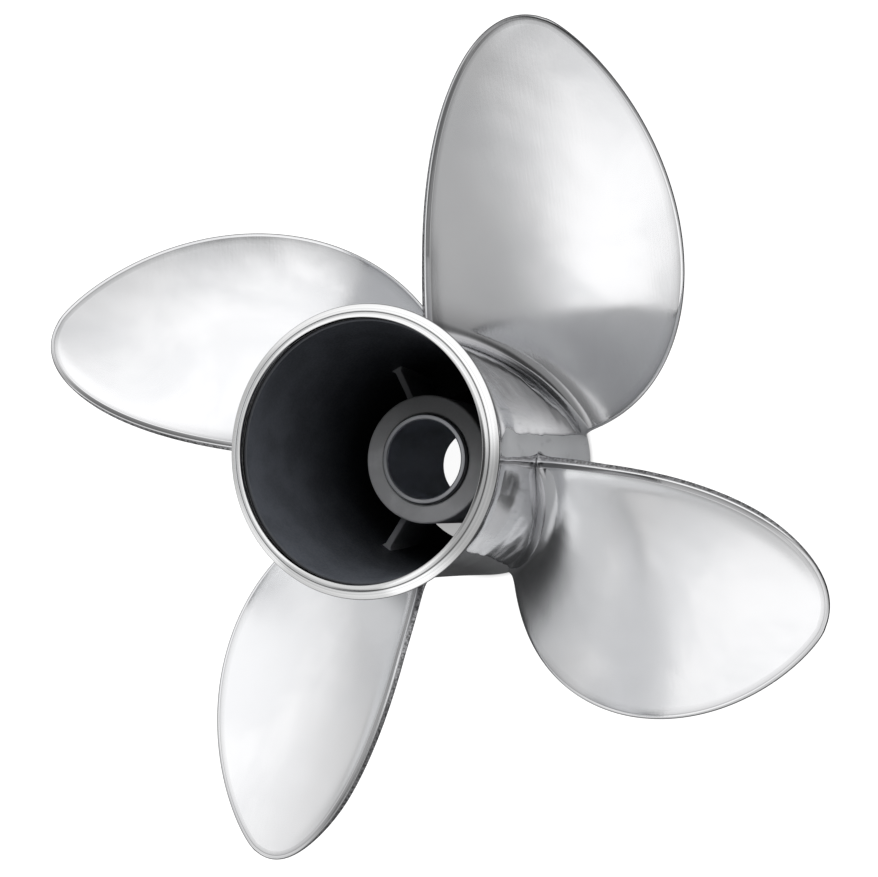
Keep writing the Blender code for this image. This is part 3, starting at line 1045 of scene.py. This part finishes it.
def make_ring_steel():
    material, tree, shader = new_material("turned ring steel")
    turned = use_group(tree, turning_lines, RING_LINES)
    polish = use_group(tree, polish_marks)
    where = use_group(tree, shaft_place)
    skin = use_group(tree, cast_skin)

    across = add_math(tree, "DIVIDE", add_math(tree, "SUBTRACT", where["Radius"], TONES_START), TONES_WIDTH)
    colour = add_mix(tree, turned["Lines"], RING_BRIGHT, RING_SHADED)
    colour = add_mix(tree, 1.0, colour, add_tones(tree, across, RING_PAINTED_SHADE_LINES), "MULTIPLY")

    depth = add_math(tree, "SUBTRACT", lip_z, where["Height"])
    ragged = add_math(tree, "SUBTRACT", depth, add_math(tree, "MULTIPLY", skin["Stain"], BLACK_BAND_RAGGED))
    inside = add_range(tree, where["Radius"], INSIDE_RADII, (1.0, 0.0))
    black_band = add_math(tree, "MULTIPLY", add_range(tree, ragged, BLACK_BAND_DEPTHS), inside)
    film = add_mix(tree, add_range(tree, depth, FILM_DEPTHS), BLACK_BAND_COLOUR, FILM_GREY)
    colour = add_mix(tree, black_band, colour, film)
    gloss = add_range(tree, polish["Clouds"], (0.0, 1.0), RING_GLOSS)
    gloss = add_math(tree, "ADD", gloss, add_math(tree, "MULTIPLY", black_band, BLACK_BAND_ROUGHNESS))
    metallic = add_range(tree, black_band, (0.0, 1.0), (1.0, 0.0))
    feed(tree, shader, {"Base Color": colour, "Metallic": metallic})
    feed(tree, shader, {"Roughness": gloss, "Normal": turned["Normal"]})
    return material


ring_steel = make_ring_steel()
tell("turned ring steel", ring_steel.node_tree)

# %% [markdown]
# The exhaust has burnt the inside of the barrel to a charcoal film. The hub and its ribs are bare
# casting, grey and matte, and the bushing is rubber. All four carry painted light: each runs from a dark
# to a light colour, lighter towards the lower left and up towards the mouth, where the light comes in.
# So they share one function, which is given the two colours and where each of them reigns.

# %% Materials: burnt wall, cast hub, ribs and rubber
MOTTLE = (0.82, 1.12)


def make_casting_with_painted_light(name, dark, light, bump, roughness, side, shaded_side_share, height, deep_shade_share):
    """A matte skin with painted light: dark to light across the part and up towards the mouth."""
    material, tree, shader = new_material(name)
    where = use_group(tree, shaft_place)
    skin = use_group(tree, cast_skin, {"Bump height": bump})
    # Painted light: lighter towards the lower left and up towards the mouth; the stain mottle is the skin's
    # own.
    across = add_range(tree, where["Low left"], side, (shaded_side_share, 1.0))
    rise = add_range(tree, where["Height"], height, (deep_shade_share, 1.0))
    mottle = add_range(tree, skin["Stain"], (0.0, 1.0), MOTTLE)
    share = add_math(tree, "MULTIPLY", add_math(tree, "MULTIPLY", across, rise), mottle)
    rough = add_range(tree, skin["Pits"], (0.0, 1.0), roughness)
    colour = add_mix(tree, share, dark, light)
    feed(tree, shader, {"Base Color": colour, "Roughness": rough, "Normal": skin["Normal"]})
    tell(name, tree)
    return material


burnt_wall = make_casting_with_painted_light(
    "burnt wall", dark=(0.0048, 0.0056, 0.0090), light=(0.146, 0.158, 0.184), bump=0.00003,
    roughness=(0.42, 0.60), side=(-0.060, 0.048), shaded_side_share=0.20, height=(0.030, 0.135), deep_shade_share=0.05,
)
hub_casting = make_casting_with_painted_light(
    "hub casting", dark=(0.15, 0.152, 0.156), light=(0.74, 0.745, 0.76), bump=0.00006,
    roughness=(0.50, 0.70), side=(-0.026, 0.020), shaded_side_share=0.0, height=(0.020, 0.075), deep_shade_share=0.5,
)
rib_casting = make_casting_with_painted_light(
    "rib casting", dark=(0.03, 0.032, 0.036), light=(0.42, 0.43, 0.45), bump=0.00006,
    roughness=(0.50, 0.70), side=(-0.060, 0.030), shaded_side_share=0.35, height=(0.020, 0.075), deep_shade_share=0.2,
)
moulded_rubber = make_casting_with_painted_light(
    "moulded rubber", dark=(0.012, 0.012, 0.012), light=(0.035, 0.035, 0.035), bump=0.00004,
    roughness=(0.65, 0.85), side=(-0.030, 0.030), shaded_side_share=0.5, height=(0.0, 0.020), deep_shade_share=0.5,
)

# %% [markdown]
# The sleeve is plain machined metal. Little light comes into its bore, which still shows grey on the
# photograph, so the bore's metal is drawn lighter than the sleeve's end.

# %% Material: machined sleeve
SLEEVE_LINES = {"Line height": 0.000015}
SLEEVE_BRIGHT = (0.50, 0.51, 0.53)
SLEEVE_SHADED = (0.36, 0.37, 0.39)
SLEEVE_ROUGHNESS = (0.30, 0.42)
BORE_LIMITS = (SLEEVE_BORE_RADIUS + 0.00005, SLEEVE_BORE_RADIUS + 0.00030)
BORE_LIGHT_SHARE = 0.95
BORE_PAINTED_LIGHT = (0.80, 0.83, 0.90)


def make_sleeve_metal():
    material, tree, shader = new_material("machined sleeve", metallic=1.0)
    turned = use_group(tree, turning_lines, SLEEVE_LINES)
    skin = use_group(tree, cast_skin)
    where = use_group(tree, shaft_place)
    metal = add_mix(tree, turned["Lines"], SLEEVE_BRIGHT, SLEEVE_SHADED)
    # Painted light: the bore is drawn lighter than the sleeve's end.
    bore_painted_light = add_range(tree, where["Radius"], BORE_LIMITS, (BORE_LIGHT_SHARE, 0.0))
    metal = add_mix(tree, bore_painted_light, metal, BORE_PAINTED_LIGHT)
    rough = add_range(tree, skin["Stain"], (0.0, 1.0), SLEEVE_ROUGHNESS)
    feed(tree, shader, {"Base Color": metal, "Roughness": rough, "Normal": turned["Normal"]})
    return material


sleeve_metal = make_sleeve_metal()
tell("machined sleeve", sleeve_metal.node_tree)

# %% [markdown]
# Each finished piece now takes the place of its plain solid. The barrel carries two finishes, and its
# faces choose: those that look inwards are burnt, and all the others are polished.

# %% Give each piece its finish
FACING_INWARDS = -0.3

seat(barrel, "barrel", "polished_steel", barrel_steel, burnt_wall)
for face in barrel.data.polygons:
    out = Vector((face.center.x, face.center.y, 0.0)).normalized()
    face.material_index = 1 if face.normal.dot(out) < FACING_INWARDS else 0
seat(ring, "exhaust_ring", "bright_ring_steel", ring_steel)
seat(hub, "inner_hub", "cast_hub", hub_casting)
seat(sleeve, "drive_sleeve", "sleeve_metal", sleeve_metal)
seat(bushing, "rubber_bushing", "bushing_rubber", moulded_rubber)
for k, rib in enumerate(ribs):
    seat(rib, f"rib_{k + 1}", "cast_hub", rib_casting)
for k, item in enumerate(blades):
    seat(item, f"blade_{k + 1}", "polished_steel", blade_steel)

# %% [markdown]
# The propeller stands on a plain pale floor. Catalogue pictures of polished metal are cut out on
# white, yet the metal keeps the reflection of the darker table it stood on. Light Path does the
# same here: the camera sees a bright floor, and the steel sees a grey one that is darker round the
# propeller, with one pool of light. Under the barrel the floor is drawn dark for the camera too, as
# the barrel's own shade would leave it.

# %% The pale floor
FLOOR_SIZE = 12.0
FLOOR_ROUGHNESS = 0.9
FLOOR_GLOW = 0.95
FLOOR_SEEN = (0.30, 0.30, 0.30)
FLOOR_FAR = (0.74, 0.75, 0.76)
SHADOW_CENTRE = (-0.05, -0.075, 0.0)
SHADOW_REACH = 0.50
SHADOW_TONES = ((0.0, 0.16), (0.10, 0.16), (0.16, 0.40), (0.25, 0.95), (1.0, 1.0))
UNDER_BORE = (0.0225, 0.0245)
UNDER_BARREL = (0.0520, 0.0580)
UNDER_SIDE = (-0.036, 0.000)
UNDER_LIGHT = 0.45
FAR_LIMITS = (0.13, 0.24)
FAR_GLOW = 0.08
POOL_CENTRE = (-0.15, -0.235, 0.0)
POOL_LIMITS = (0.04, 0.13)
POOL_GLOW = 0.50


def make_floor_paint():
    material, tree, shader = new_material("pale floor")
    shader.inputs["Roughness"].default_value = FLOOR_ROUGHNESS
    shader.inputs["Emission Color"].default_value = (1.0, 1.0, 1.0, 1.0)
    seen = add_node(tree, "ShaderNodeLightPath").outputs["Is Camera Ray"]
    where = use_group(tree, shaft_place)
    place = object_place(tree)
    parts = add_node(tree, "ShaderNodeSeparateXYZ")
    feed(tree, parts, {"Vector": place})

    away = add_vector_math(tree, "DISTANCE", place, SHADOW_CENTRE)
    tones = add_tones(tree, add_math(tree, "DIVIDE", away, SHADOW_REACH), SHADOW_TONES)
    mirrored = add_mix(tree, 1.0, FLOOR_FAR, tones, "MULTIPLY")
    through_bore = add_range(tree, where["Radius"], UNDER_BORE, (1.0, 0.0))
    beyond = add_range(tree, where["Radius"], UNDER_BARREL)
    low_side = add_range(tree, parts.outputs["Y"], UNDER_SIDE, (UNDER_LIGHT, 0.0))
    lit = add_math(tree, "MAXIMUM", add_math(tree, "MAXIMUM", through_bore, beyond), low_side)
    direct = add_mix(tree, lit, (0.0, 0.0, 0.0), FLOOR_SEEN)

    glow = add_math(tree, "MULTIPLY", add_math(tree, "MULTIPLY", seen, lit), FLOOR_GLOW)
    far_glow = add_range(tree, away, FAR_LIMITS, (0.0, FAR_GLOW))
    from_pool = add_vector_math(tree, "DISTANCE", place, POOL_CENTRE)
    pool = add_range(tree, from_pool, POOL_LIMITS, (POOL_GLOW, 0.0))
    glow = add_math(tree, "MAXIMUM", glow, add_math(tree, "MAXIMUM", far_glow, pool))
    colour = add_mix(tree, seen, mirrored, direct)
    feed(tree, shader, {"Base Color": colour, "Emission Strength": glow})
    return material


deselect_all()
bpy.ops.mesh.primitive_plane_add(size=FLOOR_SIZE, location=(0.0, 0.0, 0.0))
floor = bpy.context.object
floor.name = "pale_floor"
floor.data.materials.append(make_floor_paint())
print(f"{floor.name}: {FLOOR_SIZE:.0f} m across")

# %% [markdown]
# Polished metal has no colour of its own to show: it shows the room. The room is a soft dome, grey
# near the table and brightest in a broad ring halfway up. Dark patches stand where the steel needs something
# dark to mirror: three upright ones round the horizon, one high up and two low ones.

# %% The soft dome of light
DOME_PEAK = 1.25
DOME_PROFILE = (
    (0.00, 0.78),
    (0.05, 0.86),
    (0.14, 1.00),
    (0.27, 1.08),
    (0.42, 1.20),
    (0.55, 1.25),
    (0.77, 1.22),
    (0.83, 1.05),
    (0.88, 0.72),
    (1.00, 0.50),
)
# Each dark patch: azimuth, height angle, full within, gone beyond (degrees), level, upright stretch
DARK_PATCHES = (
    (-35.0, 0.0, 22.0, 54.0, 0.40, True),
    (-127.0, 0.0, 18.0, 26.0, 0.68, True),
    (168.0, 0.0, 8.0, 25.0, 0.68, True),
    (0.8, 69.1, 6.0, 20.0, 0.12, False),
    (-12.0, 0.0, 10.0, 26.0, 0.25, False),
    (-114.0, 0.0, 6.0, 16.0, 0.20, False),
)


def aim(azimuth, climb):
    """The direction of a patch, from its azimuth and its height angle in degrees."""
    turned = math.radians(azimuth)
    raised = math.radians(climb)
    return math.cos(turned) * math.cos(raised), math.sin(turned) * math.cos(raised), math.sin(raised)


def make_dome():
    dome = bpy.data.worlds.new("studio dome")
    dome.use_nodes = True
    tree = dome.node_tree
    heading = add_node(tree, "ShaderNodeTexCoord").outputs["Generated"]
    parts = add_node(tree, "ShaderNodeSeparateXYZ")
    feed(tree, parts, {"Vector": heading})
    flat = add_node(tree, "ShaderNodeCombineXYZ")
    feed(tree, flat, {"X": parts.outputs["X"], "Y": parts.outputs["Y"]})
    bearing = add_vector_math(tree, "NORMALIZE", flat.outputs["Vector"])
    strength = DOME_PEAK
    for azimuth, climb, within, beyond, level, upright_stretch in DARK_PATCHES:
        source = bearing if upright_stretch else heading
        facing = add_vector_math(tree, "DOT_PRODUCT", source, aim(azimuth, climb))
        edges = (math.cos(math.radians(beyond)), math.cos(math.radians(within)))
        strength = add_math(tree, "MULTIPLY", strength, add_range(tree, facing, edges, (1.0, level)))
    seen = add_node(tree, "ShaderNodeLightPath").outputs["Is Camera Ray"]
    level_tones = [(height, level / DOME_PEAK) for height, level in DOME_PROFILE]
    light = add_mix(tree, seen, add_tones(tree, parts.outputs["Z"], level_tones), (1.0, 1.0, 1.0))
    strength = add_math(tree, "MAXIMUM", strength, seen)
    feed(tree, tree.nodes["Background"], {"Color": light, "Strength": strength})
    return dome


studio_dome = make_dome()
bpy.context.scene.world = studio_dome
bpy.context.scene.view_settings.view_transform = "Standard"
tell("studio dome", studio_dome.node_tree)

# %% [markdown]
# The camera looks down along the shaft from a little over half a metre, as the photograph does. The
# lens and the small shift come from fitting the barrel's circles and the blades' outline.

# %% Camera
PICTURE_WIDTH = 878.0
PICTURE_HEIGHT = 877.0
FOCAL_PIXELS = 1152.0
LENS_CENTRE = (457.1, 518.2)
SENSOR_WIDTH = 36.0
CAMERA_PLACE = Vector((0.19563, -0.02357, 0.55285))
CAMERA_FORWARD = Vector((-0.35604, -0.00510, -0.93446))

camera_data = bpy.data.cameras.new("camera")
camera = bpy.data.objects.new("camera", camera_data)
bpy.context.collection.objects.link(camera)
camera_data.sensor_width = SENSOR_WIDTH
camera_data.lens = SENSOR_WIDTH * FOCAL_PIXELS / PICTURE_WIDTH
camera_data.shift_x = (0.5 * PICTURE_WIDTH - LENS_CENTRE[0]) / PICTURE_WIDTH
camera_data.shift_y = (LENS_CENTRE[1] - 0.5 * PICTURE_HEIGHT) / PICTURE_WIDTH
back = -CAMERA_FORWARD.normalized()
across = Vector((0.0, 1.0, 0.0)).cross(back).normalized()
upright = back.cross(across)
camera.matrix_world = Matrix((across, upright, back)).transposed().to_4x4()
camera.location = CAMERA_PLACE
bpy.context.scene.camera = camera
print(f"lens {camera_data.lens:.1f} mm, camera {CAMERA_PLACE.length * 1000:.0f} mm from the origin")
